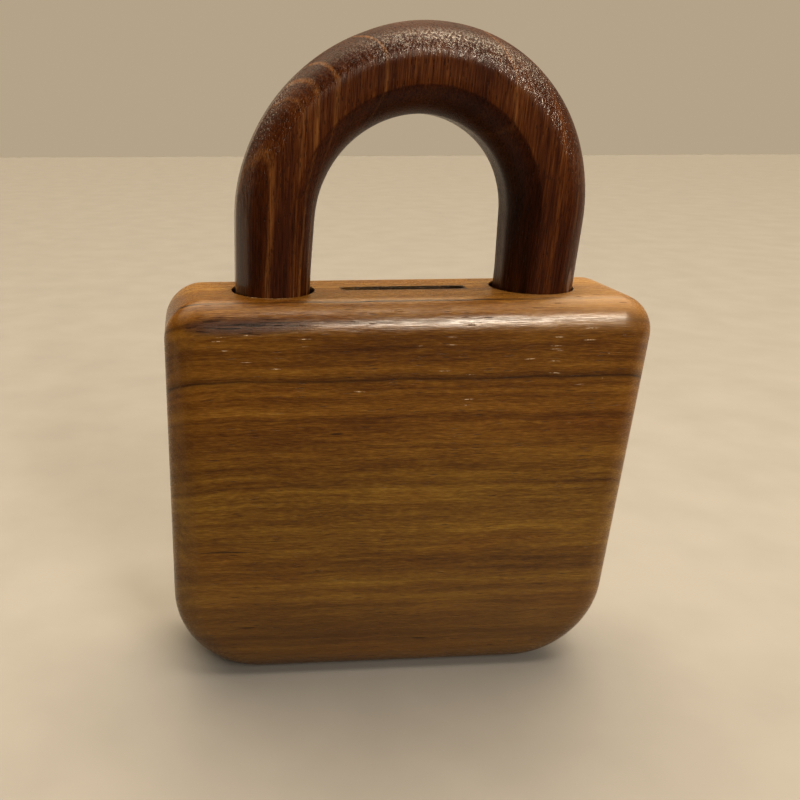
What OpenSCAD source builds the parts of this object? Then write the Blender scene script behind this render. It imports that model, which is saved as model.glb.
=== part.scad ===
// Wooden padlock puzzle bank.
// A hollow body of two glued boards carries a U-shaped wooden shackle in two round bores.
// Two loose steel pins, one outboard of each leg, lock the shackle. Spinning the bank throws both pins
// outward into their sleeves, then the shackle lifts out and the coins leave through the leg bores.
// Origin: centre of the body's base. +Z up, front face towards -Y, shackle in the XZ plane.

/* [Body] */
// Width of the body
body_w = 150; // [148:1:170]
// Height of the body, without the shackle
body_h = 130.5; // [128:0.5:145]
// Thickness of the body, front face to back face
body_t = 44; // [43:0.5:52]
// Radius of the two top corners
top_corner_r = 12.4; // [11:0.2:16]
// Radius of the two bottom corners
bottom_corner_r = 30.2; // [20:0.2:34]
// Radius of the routed edges round the front and the back face
edge_r = 9.5; // [5:0.5:10.5]

/* [Shackle] */
// Distance between the centres of the two legs
leg_spacing = 82; // [80:0.5:84]
// Diameter of the shackle's round section, before its flats
leg_d = 25; // [24:0.1:25]
// Distance between the opposite flats planed on that section
leg_size = 23.6; // [22:0.1:23.9]
// Straight leg that shows above the body
leg_rise = 20.7; // [10:0.1:40]
// Length of leg inside the body
leg_depth = 55; // [52:1:58]
// Bevel at the foot of each leg
leg_bevel = 1.5; // [0.5:0.5:3]
// Diameter of the two bores that take the legs, wide enough for a 24.3 mm coin to leave by
bore_d = 25.4; // [25.2:0.1:26]

/* [Coin slot and chamber] */
// Length of the coin slot
slot_len = 39; // [30:1:44]
// Width of the coin slot
slot_w = 4.4; // [4.2:0.1:6]
// Thickness of the front and back walls over the chamber
face_wall = 9; // [8:0.5:10]
// Thickness of the wood under the chamber
floor_wall = 14; // [12:1:20]
// Thickness of the side walls beside the lower chamber
side_wall = 19; // [17:1:22]
// Thickness of the wood over the chamber, which the slot passes through
top_wall = 13.5; // [12:0.5:18]
// Length of unbroken bore that guides each leg below the top
guide_len = 26.5; // [20:0.5:30]
// Thickness of the ledge that each leg stands on
ledge_t = 9.5; // [6:0.5:12]
// Corner radius that the router leaves in the chamber
router_r = 6; // [3:0.5:8]

/* [Locking pins] */
// Diameter of each locking pin
pin_d = 6.35; // [5:0.05:6.5]
// Length of each locking pin
pin_len = 12; // [11:0.5:12]
// How far a pin slides in towards its leg
pin_travel = 8; // [6:0.5:8]
// Depth of the pin channels below the top of the body
pin_drop = 39.5; // [36:0.5:44]
// Outside diameter of the pin sleeves
sleeve_d = 8; // [7.9:0.1:9]
// Inside diameter of the pin sleeves
sleeve_bore_d = 6.55; // [6.55:0.05:7]
// Length of the pin sleeves
sleeve_len = 13.2; // [12.8:0.1:14]
// Diameter of the blind hole that a pin enters in its leg
socket_d = 7.4; // [7:0.1:8]

/* [Dowels] */
// Diameter of the dowels that line up the two halves
dowel_d = 8; // [6:0.5:8]
// Length of the dowels
dowel_len = 20; // [14:1:22]

/* [Hidden] */
$fn = 96;

body_colour = [0.50, 0.33, 0.16];
shackle_colour = [0.33, 0.16, 0.09];
dowel_colour = [0.80, 0.66, 0.45];
brass_colour = [0.76, 0.62, 0.30];
steel_colour = [0.70, 0.71, 0.73];

cut = 1;             // how far a cutter runs past the face it cuts
glue_gap = 0.05;     // room round a glued dowel or sleeve
pin_play = 0.4;      // room between a pin and the mouth of its sleeve
socket_play = 0.5;   // room behind a pin that is fully home in its leg
mouth_w = 0.5;       // wood between a leg bore and the pin's sleeve
mouth_d = 7;         // diameter of the channel through that wood
dowel_end_play = 0.5;
dowel_inset = 9.5;   // from the body's sides to the dowels' centres
upper_dowel_drop = 15;
lower_dowel_z = 42;
upper_dowel_inset = 11;

half_t = body_t / 2;
leg_x = leg_spacing / 2;
leg_half = leg_size / 2;
leg_r = leg_d / 2;
bore_r = bore_d / 2;
ledge_z = body_h - leg_depth;
arch_z = body_h + leg_rise;
pin_z = body_h - pin_drop;
sleeve_x = leg_x + bore_r + mouth_w;
pin_x = sleeve_x + pin_play;
socket_depth = leg_x + leg_half - (pin_x - pin_travel) + socket_play;
chamber_half_t = half_t - face_wall;
lower_chamber_x = body_w / 2 - side_wall;
upper_chamber_x = leg_x - bore_r - 4.3;

// Section of a body half at its rim, from the glue face (y = 0) to the front, with the routed edge.
module rim_section(reach) {
    square([reach - edge_r, half_t]);
    square([reach, half_t - edge_r]);
    translate([reach - edge_r, half_t - edge_r])
        intersection() {
            circle(r = edge_r);
            square(edge_r);
        }
}

// Quarter turn of the rim round a corner of the outline, with its centre at x, y.
module rim_corner(x, y, r, turn) {
    translate([x, y, 0])
        rotate([0, 0, turn])
            rotate_extrude(angle = 90)
                rim_section(r);
}

// Straight stretch of the rim. It starts at x, y and runs for length, with its outer face turned by turn.
module rim_side(x, y, reach, length, turn) {
    translate([x, y, 0])
        rotate([0, 0, turn])
            rotate([90, 0, 0])
                mirror([0, 0, 1])
                    linear_extrude(height = length)
                        rim_section(reach);
}

// Solid half of the body, lying with its glue face on z = 0 and the top of the body towards +Y.
module half_blank_flat() {
    top_x = body_w / 2 - top_corner_r;
    top_y = body_h - top_corner_r;
    bottom_x = body_w / 2 - bottom_corner_r;
    bottom_y = bottom_corner_r;
    side_len = top_y - bottom_y;
    rim_corner(top_x, top_y, top_corner_r, 0);
    rim_corner(-top_x, top_y, top_corner_r, 90);
    rim_corner(-bottom_x, bottom_y, bottom_corner_r, 180);
    rim_corner(bottom_x, bottom_y, bottom_corner_r, 270);
    rim_side(top_x, top_y, top_corner_r, 2 * top_x, 90);
    rim_side(-bottom_x, bottom_y, bottom_corner_r, 2 * bottom_x, 270);
    rim_side(bottom_x, bottom_y, bottom_corner_r, side_len, 0);
    rim_side(-bottom_x, top_y, bottom_corner_r, side_len, 180);
    translate([-bottom_x, bottom_y, 0])
        cube([2 * bottom_x, side_len, half_t]);
}

module rounded_rect(half_w, low, high, r) {
    translate([-half_w + r, low])
        square([2 * (half_w - r), high - low]);
    translate([-half_w, low + r])
        square([2 * half_w, high - low - 2 * r]);
    for (side = [-1, 1], end = [low + r, high - r])
        translate([side * (half_w - r), end])
            circle(r = r);
}

// Routed outline of the coin chamber in the XZ plane: wide below the ledges, stepped in beside the legs.
module chamber_outline() {
    rounded_rect(lower_chamber_x, floor_wall, ledge_z - ledge_t, router_r);
    rounded_rect(leg_x, floor_wall, body_h - guide_len, router_r);
    rounded_rect(upper_chamber_x, floor_wall, body_h - top_wall, router_r);
}

// Everything that is cut out of the body, as one shape across both halves.
module body_cutters() {
    rotate([90, 0, 0])
        linear_extrude(height = 2 * chamber_half_t, center = true)
            chamber_outline();
    translate([-slot_len / 2, -slot_w / 2, body_h - top_wall - cut])
        cube([slot_len, slot_w, top_wall + 2 * cut]);
    for (side = [-1, 1]) {
        translate([side * leg_x, 0, ledge_z])
            cylinder(r = bore_r, h = leg_depth + cut);
        translate([side * leg_x, 0, pin_z])
            rotate([0, side * 90, 0]) {
                cylinder(d = mouth_d, h = sleeve_x - leg_x + glue_gap);
                translate([0, 0, sleeve_x - leg_x])
                    cylinder(d = sleeve_d + 2 * glue_gap, h = sleeve_len + 2 * glue_gap);
            }
        dowel_at(side, upper_dowel_inset, body_h - upper_dowel_drop, dowel_d + 2 * glue_gap,
            dowel_len + 2 * dowel_end_play);
        dowel_at(side, dowel_inset, lower_dowel_z, dowel_d + 2 * glue_gap,
            dowel_len + 2 * dowel_end_play);
    }
}

// Cylinder across the glue line, for a dowel or for its hole.
module dowel_at(side, inset, z, d, length) {
    translate([side * (body_w / 2 - inset), 0, z])
        rotate([90, 0, 0])
            cylinder(d = d, h = length, center = true);
}

module half_shell() {
    difference() {
        rotate([90, 0, 0])
            half_blank_flat();
        body_cutters();
    }
}

module front_half() {
    color(body_colour)
        half_shell();
}

module back_half() {
    color(body_colour)
        mirror([0, 1, 0])
            half_shell();
}

// Round section with four flats: front, back, inner side and outer side.
module leg_section() {
    intersection() {
        circle(r = leg_r);
        square(leg_size, center = true);
    }
}

// One leg, up to the spring of the arch, with a bevelled foot and the blind hole for its pin.
module leg(side) {
    difference() {
        translate([side * leg_x, 0, ledge_z])
            intersection() {
                linear_extrude(height = arch_z - ledge_z)
                    leg_section();
                union() {
                    cylinder(r1 = leg_r - leg_bevel, r2 = leg_r + glue_gap, h = leg_bevel);
                    translate([0, 0, leg_bevel])
                        cylinder(r = leg_r + cut, h = arch_z - ledge_z);
                }
            }
        translate([side * (leg_x + leg_half + cut), 0, pin_z])
            rotate([0, -side * 90, 0])
                cylinder(d = socket_d, h = socket_depth + cut);
    }
}

module shackle() {
    color(shackle_colour)
        union() {
            leg(-1);
            leg(1);
            translate([0, 0, arch_z])
                rotate([90, 0, 0])
                    rotate_extrude(angle = 180)
                        translate([leg_x, 0])
                            leg_section();
        }
}

module lock_pin(side) {
    color(steel_colour)
        translate([side * pin_x, 0, pin_z])
            rotate([0, side * 90, 0])
                cylinder(d = pin_d, h = pin_len);
}

module pin_sleeve(side) {
    color(brass_colour)
        translate([side * (sleeve_x + glue_gap), 0, pin_z])
            rotate([0, side * 90, 0])
                difference() {
                    cylinder(d = sleeve_d, h = sleeve_len);
                    translate([0, 0, -cut])
                        cylinder(d = sleeve_bore_d, h = sleeve_len + 2 * cut);
                }
}

module upper_dowel(side) {
    color(dowel_colour)
        dowel_at(side, upper_dowel_inset, body_h - upper_dowel_drop, dowel_d, dowel_len);
}

module lower_dowel(side) {
    color(dowel_colour)
        dowel_at(side, dowel_inset, lower_dowel_z, dowel_d, dowel_len);
}

front_half();
back_half();
shackle();
lock_pin(-1);  // left_lock_pin
lock_pin(1);  // right_lock_pin
pin_sleeve(-1);  // left_pin_sleeve
pin_sleeve(1);  // right_pin_sleeve
upper_dowel(-1);  // upper_left_dowel
upper_dowel(1);  // upper_right_dowel
lower_dowel(-1);  // lower_left_dowel
lower_dowel(1);  // lower_right_dowel
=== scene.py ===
"""Looks of the wooden padlock puzzle bank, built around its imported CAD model."""

import math
from types import SimpleNamespace

import bmesh
import bpy
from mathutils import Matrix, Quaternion, Vector, noise


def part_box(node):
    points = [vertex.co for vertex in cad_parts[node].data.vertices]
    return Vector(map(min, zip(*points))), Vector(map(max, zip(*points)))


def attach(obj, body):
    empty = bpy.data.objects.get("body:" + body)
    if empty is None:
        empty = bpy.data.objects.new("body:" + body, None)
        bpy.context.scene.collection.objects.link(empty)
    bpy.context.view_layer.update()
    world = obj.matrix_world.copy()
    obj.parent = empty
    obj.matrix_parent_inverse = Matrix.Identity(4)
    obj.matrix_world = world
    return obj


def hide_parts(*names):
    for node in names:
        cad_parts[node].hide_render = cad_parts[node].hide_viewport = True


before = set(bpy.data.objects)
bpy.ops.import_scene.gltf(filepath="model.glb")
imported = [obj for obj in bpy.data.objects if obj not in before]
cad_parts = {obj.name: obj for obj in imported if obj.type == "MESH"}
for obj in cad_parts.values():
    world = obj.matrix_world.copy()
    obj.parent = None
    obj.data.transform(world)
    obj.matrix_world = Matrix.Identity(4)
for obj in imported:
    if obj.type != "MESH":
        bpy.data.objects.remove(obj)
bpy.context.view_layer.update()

MM = 0.001

# Places read from the frame.
BODY_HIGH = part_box("back_half")[1]
SHACKLE_LOW, SHACKLE_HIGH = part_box("shackle")
PIN_LOW, PIN_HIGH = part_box("right_lock_pin")
SLEEVE_LOW, SLEEVE_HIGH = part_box("right_pin_sleeve")
HALF_W = BODY_HIGH.x
HALF_T = BODY_HIGH.y
TOP_Z = BODY_HIGH.z
LEG = SHACKLE_HIGH.y - SHACKLE_LOW.y
LEG_X = SHACKLE_HIGH.x - LEG / 2
FOOT_Z = SHACKLE_LOW.z
ARCH_Z = SHACKLE_HIGH.z - LEG_X - LEG / 2
PIN_Z = (PIN_LOW.z + PIN_HIGH.z) / 2

# Sizes that the frame's boxes don't give, as in the CAD model.
TOP_CORNER_R = 12.4 * MM
BOTTOM_CORNER_R = 30.2 * MM
EDGE_R = 9.5 * MM
BORE_R = 12.7 * MM
LEG_R = 12.5 * MM
SLOT_HALF = 19.5 * MM
SLOT_HALF_W = 2.2 * MM
FACE_WALL = 9 * MM
FLOOR_WALL = 14 * MM
SIDE_WALL = 19 * MM
TOP_WALL = 13.5 * MM
GUIDE = 26.5 * MM
SHAFT_WALL = 4.3 * MM
LEDGE = 9.5 * MM
ROUTER_R = 6 * MM
CHANNEL_R = 3.5 * MM
SLEEVE_SEAT_R = 4.05 * MM
PIN_SOCKET_R = 3.7 * MM
PIN_SOCKET_X = 46.1 * MM
FOOT_BEVEL = 1.5 * MM
GLUE_GAP = 0.05 * MM
DOWEL_ROOM = 0.5 * MM

# Small details that only the visual model has.
SEAM_GROOVE = 0.15 * MM
RIM_EASE = 0.25 * MM
RIM_CHIP = 0.9 * MM
LIP_TAPER = 5.5 * MM
LIP_ROUGHNESS = 0.16 * MM
LEG_FILED = 0.7 * MM
SHAVING_DEPTH = 0.14 * MM
SHAVING_HALF_WIDTH = 2 * MM

# Growth layers that stand out, as (distance across the layers in mm, half width in mm, strength).
LATE_WOOD = (
    (94.3, 0.75, 0.80),
    (94.7, 2.2, 0.40),
    (120.6, 0.75, 1.0),
    (112.5, 1.5, 0.50),
    (127.5, 0.5, 0.35),
    (81.5, 0.5, 0.32),
    (72.0, 0.6, 0.25),
    (58.5, 0.6, 0.22),
    (40.0, 0.6, 0.20),
    (24.0, 0.9, 0.25),
    (3.0, 1.2, 0.30),
)
PALE_LAYERS = (
    (-57.0, 1.30, 0.60),
    (-48.3, 0.80, 0.55),
    (-43.6, 1.30, 0.80),
    (-37.4, 1.00, 0.75),
    (-24.3, 0.80, 0.75),
    (11.8, 0.90, 0.65),
    (34.5, 1.20, 0.25),
)

# Short dark checks in the front face, as (x, z, half length) in mm.
CHECKS = (
    (-50.5, 20.3, 4.2),
    (9.5, 13.8, 4.0),
    (-58.0, 49.6, 12.0),
    (-23.0, 90.4, 3.0),
)


# ---------------------------------------------------------------- materials

class Graph:
    """Short-hand for the nodes of one procedural material."""

    def __init__(self, name):
        self.material = bpy.data.materials.new(name)
        self.material.use_nodes = True
        self.nodes = self.material.node_tree.nodes
        self.links = self.material.node_tree.links
        self.nodes.clear()
        self.shader = self.nodes.new("ShaderNodeBsdfPrincipled")
        output = self.nodes.new("ShaderNodeOutputMaterial")
        self.links.new(self.shader.outputs[0], output.inputs["Surface"])

    def plug(self, socket, value):
        if isinstance(value, bpy.types.NodeSocket):
            self.links.new(value, socket)
        else:
            socket.default_value = value

    def shade(self, name, value):
        """Links a socket of the shader, or sets it when the value is a plain number."""
        self.plug(self.shader.inputs[name], value)

    def node(self, kind, inputs=(), **settings):
        made = self.nodes.new("ShaderNode" + kind)
        for key, value in settings.items():
            setattr(made, key, value)
        for index, value in enumerate(inputs):
            if value is not None:
                self.plug(made.inputs[index], value)
        return made

    def math(self, operation, a, b=None, c=None):
        return self.node("Math", (a, b, c), operation=operation).outputs[0]

    def product(self, first, *others):
        for other in others:
            first = self.math("MULTIPLY", first, other)
        return first

    def hypotenuse(self, a, b):
        return self.math("SQRT", self.math("ADD", self.product(a, a), self.product(b, b)))

    def vary(self, value, pattern, amount):
        """The value moved up and down by a noise pattern, which has its middle at 0.5."""
        return self.math("MULTIPLY_ADD", self.math("SUBTRACT", pattern, 0.5), amount, value)

    def axes(self, vector):
        return self.node("SeparateXYZ", (vector,)).outputs[:3]

    def position(self):
        """Rest position in millimetres: it stays with the piece when a joint moves it."""
        place = self.node("TexCoord").outputs["Object"]
        return self.node("VectorMath", (place, None, None, 1 / MM), operation="SCALE").outputs[0]

    def stretched(self, place, lengths, offset=(0, 0, 0)):
        """place divided by a length along each axis, in millimetres."""
        scale = tuple(1 / length for length in lengths)
        return self.node("Mapping", (place, offset, None, scale)).outputs[0]

    def from_spot(self, place, centre, radii):
        """Distance from a centre, which is 1 at a given radius along each axis."""
        offset = tuple(-middle / radius for middle, radius in zip(centre, radii))
        scaled = self.stretched(place, radii, offset)
        return self.node("VectorMath", (scaled,), operation="LENGTH").outputs["Value"]

    def noise(self, place, detail=2.0, roughness=0.5):
        made = self.node("TexNoise", (place,))
        made.inputs["Scale"].default_value = 1.0
        made.inputs["Detail"].default_value = detail
        made.inputs["Roughness"].default_value = roughness
        return made.outputs[0]

    def noise_along(self, distance, step, detail, offset):
        """One-dimensional noise of a distance, with its features about a step apart."""
        made = self.node("TexNoise", noise_dimensions="1D")
        self.plug(made.inputs["W"], self.math("MULTIPLY_ADD", distance, 1 / step, offset))
        made.inputs["Scale"].default_value = 1.0
        made.inputs["Detail"].default_value = detail
        made.inputs["Roughness"].default_value = 0.5
        return made.outputs[0]

    def cells(self, place):
        """Distance to the middle of the nearest cell, and that cell's own random number."""
        made = self.node("TexVoronoi", (place,))
        made.inputs["Scale"].default_value = 1.0
        made.inputs["Randomness"].default_value = 1.0
        number = self.node("SeparateColor", (made.outputs["Color"],)).outputs[0]
        return made.outputs["Distance"], number

    def range(self, value, low, high, to_low=0.0, to_high=1.0):
        """Smooth step from to_low, where the value is low, to to_high, where it is high."""
        made = self.node("MapRange", (value, low, high, to_low, to_high))
        made.interpolation_type = "SMOOTHSTEP"
        return made.outputs[0]

    def line(self, distance, centre, width):
        """1 on a thin line at a distance of centre, falling to 0 at width either side of it."""
        away = self.math("ABSOLUTE", self.math("SUBTRACT", distance, centre))
        return self.range(away, 0.0, width, 1.0, 0.0)

    def ramp(self, factor, stops):
        made = self.node("ValToRGB", (factor,))
        elements = made.color_ramp.elements
        while len(elements) < len(stops):
            elements.new(0.5)
        for element, (place, colour) in zip(elements, stops):
            element.position = place
            element.color = (*colour, 1)
        return made.outputs[0]

    def mix(self, factor, a, b, blend="MIX"):
        """Blends a colour socket a with a plain colour b."""
        made = self.node("Mix", data_type="RGBA", blend_type=blend, clamp_factor=True)
        self.plug(made.inputs["Factor"], factor)
        self.plug(made.inputs[6], a)
        self.plug(made.inputs[7], (*b, 1))
        return made.outputs[2]

    def times(self, colour, factor):
        """A colour made lighter or darker by a factor."""
        made = self.node("VectorMath", (colour, None, None, factor), operation="SCALE")
        return made.outputs[0]

    def bump(self, height, distance):
        made = self.node("Bump", (1.0, distance))
        self.plug(made.inputs["Height"], height)
        return made.outputs[0]


def body_grain(g):
    """Positions and patterns in the body's wood, in millimetres. The grain runs along X."""
    w = SimpleNamespace(place=g.position())
    w.x, w.y, w.z = g.axes(w.place)
    w.from_seam = g.math("ABSOLUTE", w.y)
    w.from_middle = g.math("ABSOLUTE", w.x)

    # Distance across the growth layers, which fall towards the back and bend a little along the board.
    slow = g.noise(g.stretched(w.place, (190, 60, 60)), detail=1)
    sway = g.vary(0.0, g.noise(g.stretched(w.place, (24, 16, 16))), 2.4)
    layer = g.vary(g.math("MULTIPLY_ADD", w.y, 0.6, w.z), slow, 4.0)
    w.layer = g.math("ADD", layer, sway)
    w.bent = g.node("CombineXYZ", (w.x, w.y, g.math("ADD", w.z, sway))).outputs[0]

    w.bands = g.noise_along(w.layer, 3.2, detail=3, offset=8.1)
    w.streaks = g.noise(g.stretched(w.bent, (26, 1.7, 1.7)), detail=3, roughness=0.6)
    w.fibres = g.noise(g.stretched(w.bent, (6, 0.34, 0.34)), detail=3, roughness=0.7)
    w.torn_grain = g.noise(g.stretched(w.bent, (8.5, 0.55, 0.55), (2, 8, 5)))
    w.fuzz = g.noise(g.stretched(w.place, (0.7, 0.4, 0.4), (3, 3, 3)))

    # The end grain on the two sides is smoother and more even than the faces.
    w.sides = g.range(w.from_middle, 63, 70)
    w.coarse = g.math("MULTIPLY_ADD", w.sides, -0.75, 1.0)

    # Pores are long thin cells, more of them in some layers.
    distance, number = g.cells(g.stretched(w.bent, (7.0, 0.62, 0.62)))
    has_pore = g.math("LESS_THAN", number, g.math("MULTIPLY_ADD", w.bands, 0.60, -0.05))
    w.pore = g.product(g.range(distance, 0.10, 0.26, 1.0, 0.0), has_pore, w.coarse)

    # The upper left edge has a patch of its own.
    from_patch = g.from_spot(w.place, (-52, -21.6, 124.4), (26, 3.6, 3.6))
    w.patch = g.range(from_patch, 0.40, 1.0, 1.0, 0.0)
    return w


def body_colour(g, w):
    """The body's wood before its lines and marks."""
    broad = g.noise_along(w.layer, 13.0, detail=1, offset=3.3)
    patches = g.noise(g.stretched(w.bent, (60, 9, 9)))
    flecks = g.noise(g.stretched(w.bent, (2.6, 0.45, 0.45), (5, 1, 3)))
    tone = 0.5
    for pattern, amount in ((broad, 0.45), (w.bands, 0.52), (patches, 0.60), (w.streaks, 0.62)):
        tone = g.vary(tone, pattern, amount)
    fine = g.vary(0.0, w.fibres, g.range(w.z, 10, 70, 0.55, 0.85))
    fine = g.vary(fine, flecks, g.range(w.z, 10, 70, 0.45, 0.70))
    tone = g.math("MULTIPLY_ADD", fine, w.coarse, tone)

    # Painted shade: the board is darker towards its lower edge and on its front and back faces. Painted
    # light: the top is lighter towards its right end.
    tone = g.math("ADD", tone, g.range(w.z, 2, 46, -0.20, 0.0))
    tone = g.math("ADD", tone, g.range(w.from_seam, 19.0, 21.9, 0.0, -0.09))
    tone = g.math("MULTIPLY_ADD", g.range(w.z, 127, 130), g.range(w.x, 20, 60, 0.12, 0.20), tone)
    colour = g.ramp(tone, (
        (0.00, (0.078, 0.027, 0.0040)),
        (0.32, (0.154, 0.062, 0.0080)),
        (0.52, (0.213, 0.095, 0.0125)),
        (0.74, (0.282, 0.138, 0.0200)),
        (1.00, (0.380, 0.210, 0.0400)),
    ))

    # Some stretches are redder, and the lower three quarters a little more yellow.
    hue = g.noise(g.stretched(w.place, (55, 16, 16), (4, 2, 9)))
    colour = g.mix(g.range(hue, 0.48, 0.72, 0.0, 0.5), colour, (1.04, 0.90, 0.86), "MULTIPLY")
    colour = g.mix(g.range(w.z, 66, 98, 1.0, 0.0), colour, (0.98, 1.13, 1.12), "MULTIPLY")

    # The lower edge is mixed a little towards a greyer brown.
    return g.mix(g.range(w.z, 4, 52, 0.48, 0.0), colour, (0.122, 0.068, 0.027))


def body_marks(g, w, colour):
    """Dark lines, checks and pores, and the patch at the upper left edge."""
    # Dark late-wood lines at a few layers: the strong one crosses the front a fifth of the way down.
    for centre, width, depth in LATE_WOOD:
        patchy = g.range(w.streaks, 0.30, 0.62, depth * 0.5, depth)
        dark = g.product(g.line(w.layer, centre, width), patchy)
        colour = g.mix(dark, colour, (0.036, 0.012, 0.0035))

    # Painted light: the top is paler towards its right end.
    painted_top_light = g.product(g.range(w.z, 119, 128), g.range(w.x, 20, 60, 0.0, 0.50))
    colour = g.mix(painted_top_light, colour, (0.44, 0.27, 0.13))

    # Short dark checks along the grain.
    for x, z, half_length in CHECKS:
        away = g.from_spot(w.bent, (x, -HALF_T / MM, z), (half_length, 2.5, 0.42))
        colour = g.mix(g.range(away, 0.35, 1.0, 0.80, 0.0), colour, (0.030, 0.012, 0.004))

    colour = g.mix(g.product(w.pore, 0.45), colour, (0.042, 0.015, 0.004))

    # The patch is greyer, with open pores.
    colour = g.mix(g.product(w.patch, 0.75), colour, (0.088, 0.046, 0.036))
    open_pore = g.product(g.range(w.torn_grain, 0.53, 0.58), w.patch, 0.85)
    return g.mix(open_pore, colour, (0.014, 0.007, 0.004))


def body_painted_glints(g, w, colour):
    """Painted glints: pale dashes in some pores just under the upper front edge, mostly to the right.
    """
    below_edge = g.product(
        g.range(w.z, 96, 106),
        g.range(w.z, 121, 124, 1.0, 0.0),
        g.range(w.y, -21.8, -19.0, 1.0, 0.0),
        g.range(w.x, -20, 50, 0.03, 0.16),
    )
    near_edge = g.product(
        g.range(w.z, 115.5, 118.5, 0.0, 0.24),
        g.range(w.z, 121.5, 124, 1.0, 0.0),
        g.range(w.y, -20.5, -17.0, 1.0, 0.0),
    )
    share = g.math("ADD", below_edge, near_edge)
    share = g.product(share, g.range(w.from_middle, 56, 64, 1.0, 0.0))
    distance, number = g.cells(g.stretched(w.bent, (8.5, 0.62, 0.62), (7, 2, 4)))
    broken = g.noise(g.stretched(w.place, (0.9, 0.5, 0.5), (1, 6, 2)), detail=1)
    # Painted glints in the chosen pores.
    painted_glints = g.product(
        g.range(distance, 0.10, 0.30, 1.0, 0.0),
        g.math("LESS_THAN", number, share),
        g.range(broken, 0.42, 0.58, 0.10, 1.0),
        0.90,
    )
    return g.mix(painted_glints, colour, (0.80, 0.66, 0.50))


def body_painted_hole_shade_and_fibres(g, w, colour):
    """Painted shade darkens the slot right up to its rough lips, and the bores nearly up to theirs."""
    slot_end = SLOT_HALF / MM
    chamber_top = (TOP_Z - TOP_WALL) / MM
    in_slot = g.product(
        g.range(g.vary(w.from_seam, w.fuzz, 1.7), 2.40, 3.05, 1.0, 0.0),
        g.range(w.from_middle, slot_end + 0.1, slot_end + 0.7, 1.0, 0.0),
        g.range(w.x, -20, -6, 0.72, 1.0),
        g.range(w.z, chamber_top - 3, chamber_top),
    )
    bore = BORE_R / MM
    top = TOP_Z / MM
    spread = g.hypotenuse(g.math("SUBTRACT", w.from_middle, LEG_X / MM), w.y)
    in_bore = g.product(
        g.range(spread, bore + 0.3, bore + 0.9, 1.0, 0.0),
        g.range(w.z, top - 0.7, top - 0.1, 1.0, 0.0),
        g.range(w.z, (FOOT_Z - LEDGE) / MM + 1, FOOT_Z / MM),
    )
    # Painted shade inside the slot and the bores.
    painted_hole_shade = g.product(g.math("MAXIMUM", in_slot, in_bore), g.range(w.fuzz, 0.30, 0.62, 0.97, 0.84))
    colour = g.mix(painted_hole_shade, colour, (0.010, 0.005, 0.003))

    # Torn pale fibres along the front of the left bore's rim.
    torn = g.product(
        g.line(spread, bore + 0.50, 0.75),
        g.range(w.y, -9.5, -11.0),
        g.range(w.x, -36.0, -37.5),
        g.range(w.fuzz, 0.47, 0.55),
        0.90,
    )
    return g.mix(torn, colour, (0.62, 0.45, 0.27))


def body_gloss(g, w):
    """Bare wood, given a shine by handling on the rounded edges. Pores and fibres break the polish up.
    """
    shine = g.math("MULTIPLY_ADD", w.fibres, 0.24, 0.14)
    g.shade("Roughness", g.math("MULTIPLY_ADD", w.pore, 0.12, shine))
    g.shade("Specular IOR Level", 0.3)
    height = g.math("MULTIPLY_ADD", w.fibres, 0.85, g.product(w.pore, -1.3))
    g.shade("Normal", g.bump(g.product(height, w.coarse), 0.10 * MM))

    edge = g.product(
        g.range(w.from_seam, 18.5, 20.8, 0.07, 1.0),
        g.range(w.from_seam, 21.9, 22.0, 1.0, 0.05),
        g.range(w.z, 95, 122, 0.25, 1.0),
    )
    film = g.product(
        g.range(w.fibres, 0.38, 0.58, 0.45, 1.0),
        g.range(w.torn_grain, 0.46, 0.60, 1.0, 0.35),
        g.range(w.patch, 0.0, 1.0, 1.0, 0.2),
    )
    film = g.math("MULTIPLY_ADD", w.sides, g.math("SUBTRACT", 0.50, film), film)
    g.shade("Coat Weight", g.product(edge, film))
    g.shade("Coat Roughness", 0.26)
    g.shade("Coat IOR", 1.75)
    relief = g.math("MULTIPLY_ADD", w.fibres, 0.30, g.product(w.pore, -0.9))
    g.shade("Coat Normal", g.bump(g.product(relief, w.coarse), 0.10 * MM))


def body_wood():
    """Golden-brown oiled hardwood."""
    g = Graph("body_wood")
    w = body_grain(g)
    colour = body_marks(g, w, body_colour(g, w))
    colour = body_painted_hole_shade_and_fibres(g, w, body_painted_glints(g, w, colour))
    g.shade("Base Color", colour)
    body_gloss(g, w)
    return g.material


def shackle_grain(g):
    """Positions and patterns in the shackle's wood, in millimetres. The grain runs upright."""
    w = SimpleNamespace(place=g.position())
    w.x, w.y, w.z = g.axes(w.place)
    w.across, _, w.upright = g.axes(g.node("NewGeometry").outputs["Normal"])
    layer = g.math("MULTIPLY_ADD", w.y, 1.15, w.x)
    layer = g.vary(layer, g.noise(g.stretched(w.place, (34, 34, 90)), detail=1), 7.0)
    w.layer = g.vary(layer, g.noise(g.stretched(w.place, (7, 7, 22))), 2.6)
    w.fibres = g.noise(g.stretched(w.place, (0.36, 0.36, 7)), detail=3, roughness=0.65)
    w.streaks = g.noise(g.stretched(w.place, (1.5, 1.5, 30)))
    distance, number = g.cells(g.stretched(w.place, (0.5, 0.5, 3.0)))
    w.pore = g.product(g.range(distance, 0.12, 0.30, 1.0, 0.0), g.math("LESS_THAN", number, 0.5))
    return w


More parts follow.
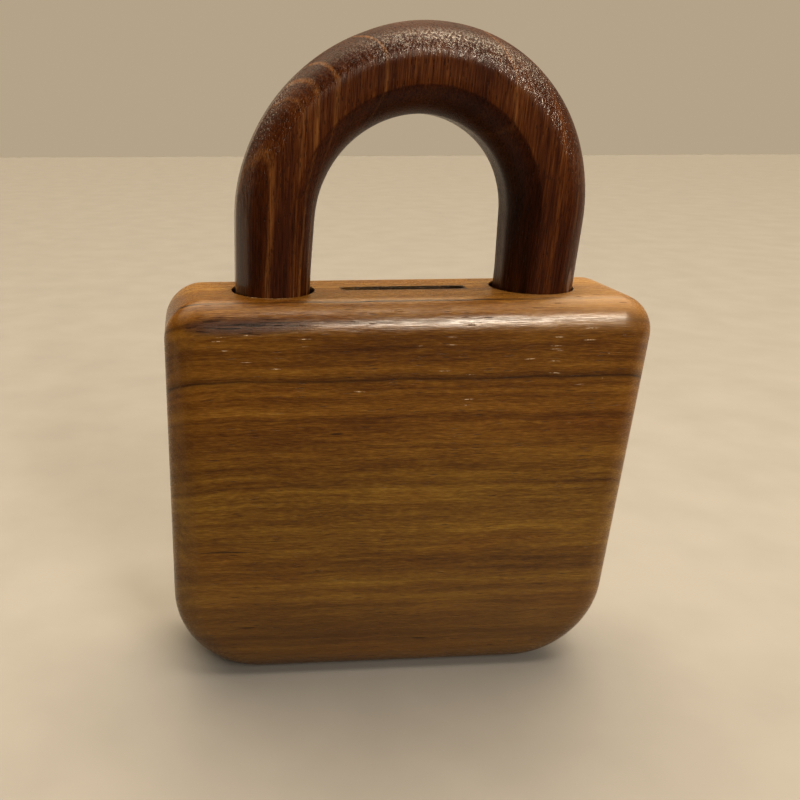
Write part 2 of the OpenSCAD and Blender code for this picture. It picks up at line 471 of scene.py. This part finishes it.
def shackle_colour(g, w):
    """Dark red-brown wood with thin pale lines. Painted light makes the arch lighter than the legs."""
    broad = g.noise_along(w.layer, 12.0, detail=1, offset=5.4)
    bands = g.noise_along(w.layer, 2.4, detail=2, offset=2.2)
    tone = g.vary(g.vary(0.42, broad, 0.50), bands, 0.30)
    tone = g.vary(tone, w.streaks, g.range(w.z, 140, 172, 0.52, 0.26))
    tone = g.vary(tone, w.fibres, 1.05)
    # Painted light: the arch is lighter than the legs.
    tone = g.math("ADD", tone, g.range(w.z, 145, 180, 0.05, 0.24))

    # Painted shade darkens the arch on its inner side; the end grain of its crown is a little darker.
    # The change comes where the front flat starts, at this distance from the arch's centre.
    inner_edge = 36.8
    above = g.math("MAXIMUM", g.math("SUBTRACT", w.z, ARCH_Z / MM), 0.0)
    outside = g.range(g.hypotenuse(w.x, above), inner_edge - 0.4, inner_edge + 0.4)
    shaded = g.product(g.range(w.x, -34, -12, 0.10, 0.24), g.range(w.z, 132, 165, 0.1, 1.0))
    tone = g.math("MULTIPLY_ADD", g.math("SUBTRACT", outside, 1.0), shaded, tone)
    tone = g.math("MULTIPLY_ADD", g.range(w.upright, 0.15, 0.75), -0.24, tone)
    colour = g.ramp(tone, (
        (0.12, (0.020, 0.0036, 0.0006)),
        (0.40, (0.046, 0.0100, 0.0014)),
        (0.58, (0.074, 0.0180, 0.0026)),
        (0.78, (0.128, 0.0380, 0.0062)),
        (0.96, (0.215, 0.0830, 0.0190)),
    ))

    # Thin pale lines where a few growth layers come to the surface, fainter inside the arch.
    shown = g.product(
        g.range(w.fibres, 0.35, 0.60, 0.35, 1.0),
        g.math("MAXIMUM", outside, g.range(w.z, 140, 165, 1.0, 0.25)),
    )
    for centre, width, depth in PALE_LAYERS:
        patchy = g.range(w.streaks, 0.30, 0.55, depth * 0.5, depth)
        pale = g.product(g.line(w.layer, centre, width), shown, patchy)
        colour = g.mix(pale, colour, (0.300, 0.130, 0.036))

    # The shaving cut off the foot of the right leg carries a painted highlight: pale grey over its
    # facet.
    from_cut = g.from_spot(w.place, (49.2, -9.4, 133.5), (1.3, 1.3, 4.5))
    cut = g.product(g.range(from_cut, 0.75, 1.05, 0.80, 0.0), g.range(w.fibres, 0.36, 0.56, 0.35, 1.0))
    colour = g.mix(cut, colour, (0.230, 0.140, 0.100))
    return g.mix(g.product(w.pore, 0.55), colour, (0.016, 0.0040, 0.0012))


def shackle_gloss(g, w):
    """Oiled wood, dull on top, with glinting end grain and a film on the left leg's outer side."""
    shine = g.math("MULTIPLY_ADD", w.fibres, 0.18, g.range(w.upright, 0.55, 0.85, 0.20, 0.50))
    g.shade("Roughness", g.math("MULTIPLY_ADD", w.pore, 0.12, shine))
    g.shade("Specular IOR Level", 0.22)
    height = g.math("MULTIPLY_ADD", w.fibres, 0.90, g.product(w.pore, -1.2))
    g.shade("Normal", g.bump(height, 0.11 * MM))

    # Oil has built up on the crown below its top, mostly to the right, where the cut fibres glint.
    ends = g.noise(g.stretched(w.place, (0.60, 0.60, 2.6), (6, 1, 4)))
    oiled = g.product(
        g.range(w.upright, 0.02, 0.22),
        g.range(w.upright, 0.60, 0.84, 1.0, 0.0),
        g.range(ends, 0.40, 0.56, 0.10, 1.0),
        g.range(w.x, -28, 4, 0.12, 1.0),
        g.range(w.x, 30, 44, 1.0, 0.30),
    )
    film = g.product(g.range(w.across, -0.74, -0.54, 0.60, 0.0), g.range(w.x, -34, -24, 1.0, 0.0))
    g.shade("Coat Weight", g.math("MAXIMUM", oiled, film))
    g.shade("Coat Roughness", 0.16)
    g.shade("Coat IOR", 1.95)
    g.shade("Coat Normal", g.bump(g.product(ends, g.range(w.upright, 0.02, 0.15)), 0.7 * MM))


def shackle_wood():
    """Dark red-brown oiled hardwood with its grain upright, so the crown is end grain."""
    g = Graph("shackle_wood")
    w = shackle_grain(g)
    g.shade("Base Color", shackle_colour(g, w))
    shackle_gloss(g, w)
    return g.material


def dowel_wood():
    """Bare birch dowel, grain along Y."""
    g = Graph("dowel_wood")
    fibres = g.noise(g.stretched(g.position(), (0.5, 9, 0.5)), detail=3)
    g.shade("Base Color", g.ramp(fibres, ((0.3, (0.42, 0.27, 0.13)), (0.7, (0.66, 0.48, 0.28)))))
    g.shade("Roughness", g.range(fibres, 0.2, 0.8, 0.6, 0.8))
    g.shade("Normal", g.bump(fibres, 0.05 * MM))
    return g.material


def turned_metal(name, light, dark, roughness):
    """Drawn or turned metal with fine marks round its X axis and a little tarnish."""
    g = Graph(name)
    place = g.position()
    marks = g.noise(g.stretched(place, (0.12, 30, 30)))
    tarnish = g.noise(g.stretched(place, (2.5, 2.5, 2.5)), detail=3)
    g.shade("Base Color", g.ramp(tarnish, ((0.35, dark), (0.65, light))))
    g.shade("Roughness", g.math("MULTIPLY_ADD", tarnish, 0.2, roughness))
    g.shade("Metallic", 1.0)
    g.shade("Normal", g.bump(marks, 0.01 * MM))
    return g.material


def floor_material():
    """Pale stone-coloured floor that gets darker in front of the object."""
    g = Graph("pale_floor")
    place = g.position()
    mottle = g.noise(g.stretched(place, (40, 40, 40)), detail=3)
    colour = g.ramp(mottle, ((0.3, (0.316, 0.313, 0.311)), (0.7, (0.343, 0.339, 0.337))))
    g.shade("Base Color", g.times(colour, g.range(g.axes(place)[1], -250, -85, 0.10, 1.0)))
    g.shade("Roughness", 0.5)
    g.shade("Specular IOR Level", 0.3)
    return g.material


# ---------------------------------------------------------------- mesh helpers

def new_piece(name, vertices, faces, material):
    mesh = bpy.data.meshes.new(name)
    mesh.from_pydata(vertices, [], faces)
    mesh.materials.append(material)
    piece = bpy.data.objects.new(name, mesh)
    bpy.context.collection.objects.link(piece)
    fix_normals(piece)
    return piece


def fix_normals(piece):
    work = bmesh.new()
    work.from_mesh(piece.data)
    bmesh.ops.recalc_face_normals(work, faces=work.faces)
    work.to_mesh(piece.data)
    work.free()


def soften(piece, angle=32):
    """Smooth shading, kept sharp at edges over an angle."""
    piece.data.shade_smooth()
    piece.data.set_sharp_from_angle(angle=math.radians(angle))


def loft(name, rings, material):
    """A closed skin over rings of points, each ring with the same number of points."""
    count = len(rings[0])
    vertices = [point for ring in rings for point in ring]
    faces = []
    for r in range(len(rings) - 1):
        for i in range(count):
            j = (i + 1) % count
            low, high = r * count, (r + 1) * count
            faces.append((low + i, low + j, high + j, high + i))
    faces.append(tuple(reversed(range(count))))
    faces.append(tuple((len(rings) - 1) * count + i for i in range(count)))
    return new_piece(name, vertices, faces, material)


def carve(piece, cutters):
    """Cuts each closed mesh in cutters out of the piece, and removes the cutters."""
    for cutter in cutters:
        modifier = piece.modifiers.new("cut", "BOOLEAN")
        modifier.operation = "DIFFERENCE"
        modifier.solver = "EXACT"
        modifier.object = cutter
    bpy.context.view_layer.update()
    cut = piece.evaluated_get(bpy.context.evaluated_depsgraph_get())
    solid = bpy.data.meshes.new_from_object(cut)
    piece.modifiers.clear()
    piece.data = solid
    for cutter in cutters:
        bpy.data.objects.remove(cutter)


def drum(name, radii, heights, place, axis, material, sides=64):
    """A round cutter with its rings at the given radii and heights along an axis through a place."""
    turn = Vector((0, 0, 1)).rotation_difference(Vector(axis)).to_matrix()
    rings = []
    for radius, height in zip(radii, heights):
        ring = []
        for i in range(sides):
            angle = 2 * math.pi * i / sides
            reach = radius(angle) if callable(radius) else radius
            point = Vector((reach * math.cos(angle), reach * math.sin(angle), height))
            ring.append(Vector(place) + turn @ point)
        rings.append(ring)
    return loft(name, rings, material)


# ---------------------------------------------------------------- body

def outline(inset):
    """Points round the body's front outline, moved in by inset, as (x, z)."""
    points = []
    corners = (
        (HALF_W - TOP_CORNER_R, TOP_Z - TOP_CORNER_R, TOP_CORNER_R, 0, 20),
        (-HALF_W + TOP_CORNER_R, TOP_Z - TOP_CORNER_R, TOP_CORNER_R, 90, 20),
        (-HALF_W + BOTTOM_CORNER_R, BOTTOM_CORNER_R, BOTTOM_CORNER_R, 180, 28),
        (HALF_W - BOTTOM_CORNER_R, BOTTOM_CORNER_R, BOTTOM_CORNER_R, 270, 28),
    )
    for x, z, r, start, steps in corners:
        for i in range(steps + 1):
            angle = math.radians(start + 90 * i / steps)
            points.append((x + (r - inset) * math.cos(angle), z + (r - inset) * math.sin(angle)))
    return points


def half_skin(name, material):
    """The front half of the body before anything is cut out of it."""
    levels = [(SEAM_GROOVE, 0.0), (0.0, SEAM_GROOVE)]
    levels += [(0.0, part * (HALF_T - EDGE_R)) for part in (0.35, 0.7)]
    steps = 14
    for i in range(steps + 1):
        angle = math.pi / 2 * i / steps
        levels.append((EDGE_R * (1 - math.cos(angle)), HALF_T - EDGE_R + EDGE_R * math.sin(angle)))
    levels.append((EDGE_R + 0.8 * MM, HALF_T))
    rings = [[(x, -depth, z) for x, z in outline(inset)] for inset, depth in levels]
    return loft(name, rings, material)


def chamber_block(name, half_w, low, high, material):
    """A router-cut pocket across both halves, with rounded corners in the XZ plane."""
    ring = []
    steps = 8
    for side, centre_z, start in (
        (1, high - ROUTER_R, 0),
        (-1, high - ROUTER_R, 90),
        (-1, low + ROUTER_R, 180),
        (1, low + ROUTER_R, 270),
    ):
        for i in range(steps + 1):
            angle = math.radians(start + 90 * i / steps)
            x = side * (half_w - ROUTER_R) + ROUTER_R * math.cos(angle)
            ring.append((x, centre_z + ROUTER_R * math.sin(angle)))
    depth = HALF_T - FACE_WALL
    return loft(name, [[(x, y, z) for x, z in ring] for y in (-depth, depth)], material)


def bore_cutter(side, material):
    """A leg bore with a drilled, slightly ragged rim. The left one is chipped at its front."""

    def ragged(angle):
        roughness = noise.noise(Vector((math.cos(angle) * 9, math.sin(angle) * 9, side * 7)))
        reach = RIM_EASE * (1 + 0.6 * roughness)
        if side < 0:
            front = max(0.0, math.cos(angle + math.radians(118)))
            bite = max(0.0, noise.noise(Vector((angle * 17, 3.1, 0.7))))
            reach += RIM_CHIP * front ** 3 * bite
        return BORE_R + reach

    def worn(angle):
        return BORE_R + 0.35 * (ragged(angle) - BORE_R)

    radii = (BORE_R, BORE_R, worn, ragged, ragged)
    above_top = [TOP_Z + up * MM for up in (-1.2, -0.45, 0.02, 3)]
    heights = (FOOT_Z, *above_top)
    return drum("bore", radii, heights, (side * LEG_X, 0, 0), (0, 0, 1), material, sides=180)


def slot_cutter(material):
    """The coin slot: it narrows near its ends, and its lips are rough."""
    count = 90
    rings = []
    for z, flare in (
        (TOP_Z - TOP_WALL - MM, 0.0),
        (TOP_Z - MM, 0.0),
        (TOP_Z - 0.2 * MM, 0.12 * MM),
        (TOP_Z + MM, 0.25 * MM),
    ):
        near = []
        far = []
        for i in range(count + 1):
            x = -SLOT_HALF + 2 * SLOT_HALF * i / count
            taper = min(1.0, (SLOT_HALF - abs(x)) / LIP_TAPER)
            half = SLOT_HALF_W * math.sqrt(taper * (2 - taper)) + 0.03 * MM
            rough = LIP_ROUGHNESS * min(1.0, taper * 3)
            near_wave = rough * noise.noise(Vector((x / MM * 1.6, 1, 0)))
            far_wave = rough * noise.noise(Vector((x / MM * 1.3, 5, 0)))
            near.append((x, -half - flare - near_wave, z))
            far.append((x, half + flare + far_wave, z))
        rings.append(near + far[::-1])
    return loft("slot", rings, material)


def body_cutters(material):
    """The chamber as three pockets, the slot, and each side's bore, pin channel and dowel holes."""
    shaft_half_w = LEG_X - BORE_R - SHAFT_WALL
    cutters = [
        chamber_block("low_pocket", HALF_W - SIDE_WALL, FLOOR_WALL, FOOT_Z - LEDGE, material),
        chamber_block("mid_pocket", LEG_X, FLOOR_WALL + MM, TOP_Z - GUIDE, material),
        chamber_block("top_pocket", shaft_half_w, FLOOR_WALL + 2 * MM, TOP_Z - TOP_WALL, material),
        slot_cutter(material),
    ]
    for side in (-1, 1):
        cutters.append(bore_cutter(side, material))
        step = SLEEVE_LOW.x - GLUE_GAP
        radii = (CHANNEL_R, CHANNEL_R, SLEEVE_SEAT_R, SLEEVE_SEAT_R)
        reach = (LEG_X, step, step, SLEEVE_HIGH.x + 2 * GLUE_GAP)
        cutters.append(drum("channel", radii, reach, (0, 0, PIN_Z), (side, 0, 0), material))
        for level in ("upper", "lower"):
            low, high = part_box(("left_", "right_")[side > 0].join((level + "_", "dowel")))
            centre = (low + high) / 2
            radius = (high.z - low.z) / 2 + GLUE_GAP
            depths = (low.y - DOWEL_ROOM, high.y + DOWEL_ROOM)
            place = (centre.x, 0, centre.z)
            cutters.append(drum("dowel_hole", (radius, radius), depths, place, (0, 1, 0), material))
    return cutters


def make_half(name, facing, material):
    """Half of the body. facing is -1 for the front one, and 1 for the back one, its mirror image."""
    piece = half_skin(name, material)
    if facing > 0:
        for vertex in piece.data.vertices:
            vertex.co.y = -vertex.co.y
        fix_normals(piece)
    carve(piece, body_cutters(material))
    soften(piece)
    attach(piece, "body")
    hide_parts(name)


# ---------------------------------------------------------------- shackle

def section(flat, radius):
    """Points (out, across) of a round section with four flats, each at a distance of flat."""
    edge = math.acos(min(1.0, flat / radius))
    points = []
    for quarter in range(4):
        middle = math.radians(90 * quarter)
        for i in range(5):
            turn = middle - edge + 2 * edge * i / 4
            reach = flat / math.cos(turn - middle)
            points.append((reach * math.cos(turn), reach * math.sin(turn)))
        for i in range(1, 12):
            turn = middle + edge + (math.pi / 2 - 2 * edge) * i / 12
            points.append((radius * math.cos(turn), radius * math.sin(turn)))
    return points


def shackle_path():
    """Sections of the U from foot to foot, each as (centre, outward direction, half size)."""
    left = Vector((-1, 0, 0))
    left_leg = [(Vector((-LEG_X, 0, FOOT_Z)), left, LEG / 2 - FOOT_BEVEL)]
    steps = 24
    for i in range(steps):
        z = FOOT_Z + FOOT_BEVEL + (ARCH_Z - FOOT_Z - FOOT_BEVEL) * i / steps
        left_leg.append((Vector((-LEG_X, 0, z)), left, LEG / 2))
    arch = []
    turns = 96
    for i in range(turns + 1):
        angle = math.pi * (1 - i / turns)
        out = Vector((math.cos(angle), 0, math.sin(angle)))
        arch.append((Vector((0, 0, ARCH_Z)) + out * LEG_X, out, LEG / 2))
    right_leg = [(Vector((LEG_X, 0, centre.z)), -left, half) for centre, _, half in reversed(left_leg)]
    return left_leg + arch + right_leg


def shackle_skin(material):
    """The U, a little uneven, and filed thinner on the inner sides of its legs near the body."""
    filed_to = TOP_Z + 22 * MM
    rings = []
    for centre, out, half in shackle_path():
        ring = []
        for reach, across in section(half, LEG_R - (LEG / 2 - half)):
            away = out * reach + Vector((0, across, 0))
            point = centre + away
            wave = noise.noise(point / (17 * MM)) * 0.10 * MM - 0.07 * MM
            if reach < -0.5 * half:
                wave -= LEG_FILED * min(1.0, max(0.0, (filed_to - point.z) / (16 * MM)))
            ring.append(point + away.normalized() * wave)
        rings.append(ring)
    return loft("shackle", rings, material)


def shackle_cutters(material):
    """The blind pin holes, and a shaving cut off the front outer side of the right leg's foot."""
    cutters = []
    for side in (-1, 1):
        radii = (PIN_SOCKET_R, PIN_SOCKET_R)
        reach = (PIN_SOCKET_X, LEG_X + LEG / 2 + MM)
        cutters.append(drum("pin_socket", radii, reach, (0, 0, PIN_Z), (side, 0, 0), material))
    facing = Vector((0.656, -0.755, 0))
    level = facing.cross(Vector((0, 0, 1)))
    blade = 80 * MM
    spot = Vector((LEG_X, 0, TOP_Z + 3 * MM)) + facing * (LEG_R - SHAVING_DEPTH + blade)
    width = (-SHAVING_HALF_WIDTH, SHAVING_HALF_WIDTH)
    cutters.append(drum("shaving", (blade, blade), width, spot, level, material, sides=720))
    return cutters


def make_shackle(material):
    """The whole shackle."""
    piece = shackle_skin(material)
    carve(piece, shackle_cutters(material))
    soften(piece, 40)
    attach(piece, "shackle")
    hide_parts("shackle")


# ---------------------------------------------------------------- CAD nodes, stage, light and camera

def finish_nodes():
    """Gives the CAD nodes that stay in the model their materials."""
    steel = turned_metal("pin_steel", (0.62, 0.61, 0.60), (0.42, 0.40, 0.38), 0.22)
    brass = turned_metal("sleeve_brass", (0.72, 0.50, 0.20), (0.42, 0.27, 0.10), 0.28)
    birch = dowel_wood()
    for name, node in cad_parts.items():
        for kind, material in (("lock_pin", steel), ("pin_sleeve", brass), ("dowel", birch)):
            if name.endswith(kind):
                for slot in node.material_slots:
                    slot.material = material


def make_stage():
    bpy.ops.mesh.primitive_plane_add(size=6)
    floor = bpy.context.object
    floor.name = "floor"
    floor.data.materials.append(floor_material())


def area_light(name, place, target, width, height, power, colour, roll=0):
    data = bpy.data.lights.new(name, "AREA")
    data.shape = "RECTANGLE"
    data.size = width
    data.size_y = height
    data.energy = power
    data.color = colour
    lamp = bpy.data.objects.new(name, data)
    lamp.location = place
    lamp.rotation_mode = "QUATERNION"
    aim = (Vector(target) - Vector(place)).to_track_quat("-Z", "Y")
    lamp.rotation_quaternion = aim @ Quaternion((0, 0, 1), math.radians(roll))
    bpy.context.collection.objects.link(lamp)


def make_world():
    """A dim studio with a bright ceiling and a pale band along the horizon, brightest at the back."""
    world = bpy.data.worlds.new("studio")
    world.use_nodes = True
    nodes = world.node_tree.nodes
    links = world.node_tree.links
    direction = nodes.new("ShaderNodeTexCoord").outputs["Generated"]
    split = nodes.new("ShaderNodeSeparateXYZ")
    links.new(direction, split.inputs[0])

    def fade(socket, low, high, to_low, to_high):
        made = nodes.new("ShaderNodeMapRange")
        made.interpolation_type = "SMOOTHSTEP"
        links.new(socket, made.inputs[0])
        for index, value in enumerate((low, high, to_low, to_high)):
            made.inputs[index + 1].default_value = value
        return made.outputs[0]

    band = fade(split.outputs[2], 0.10, 0.28, 1.0, 0.15)
    back = fade(split.outputs[1], -0.25, 0.45, 0.30, 0.86)
    dome = fade(split.outputs[2], 0.42, 0.90, 0.0, 7.6)
    for axis, start, end, low, high in ((0, -0.8, 0.8, 0.86, 1.20), (1, -0.45, 0.65, 0.0, 1.45)):
        dimmer = nodes.new("ShaderNodeMath")
        dimmer.operation = "MULTIPLY"
        links.new(dome, dimmer.inputs[0])
        links.new(fade(split.outputs[axis], start, end, low, high), dimmer.inputs[1])
        dome = dimmer.outputs[0]
    both = nodes.new("ShaderNodeMath")
    both.operation = "MULTIPLY_ADD"
    links.new(band, both.inputs[0])
    links.new(back, both.inputs[1])
    links.new(dome, both.inputs[2])
    background = nodes["Background"]
    background.inputs["Color"].default_value = (0.60, 0.495, 0.355, 1)
    links.new(both.outputs[0], background.inputs["Strength"])
    bpy.context.scene.world = world


def make_light():
    """Two lamps in front to the right and one overhead make the highlights. The rest is the world's."""
    make_world()
    warm = (1.0, 0.88, 0.72)
    area_light("lamp", (0.80, -2.4, 1.22), (0, 0, 0.12), 0.37, 0.80, 24, warm)
    area_light("side_lamp", (0.98, -1.80, 1.48), (0, 0, 0.12), 1.05, 0.30, 25, warm, roll=47)
    area_light("top_lamp", (0.35, -0.38, 2.13), (0, 0, 0.20), 0.50, 0.50, 8, (1.0, 0.90, 0.76))


def make_camera():
    data = bpy.data.cameras.new("camera")
    data.sensor_width = 36
    data.lens = 37.93
    data.shift_x = 0.1896
    data.shift_y = 0.1133
    data.clip_start = 0.01
    camera = bpy.data.objects.new("camera", data)
    camera.location = (-0.0670, -0.2631, 0.1839)
    camera.rotation_euler = (math.radians(90 - 24.84), 0, math.radians(-3.98))
    bpy.context.collection.objects.link(camera)
    bpy.context.scene.camera = camera


make_camera()
make_light()
make_stage()
wood = body_wood()
make_half("front_half", -1, wood)
make_half("back_half", 1, wood)
make_shackle(shackle_wood())
finish_nodes()
bpy.context.scene.view_settings.view_transform = "Standard"
bpy.context.scene.view_settings.gamma = 0.85
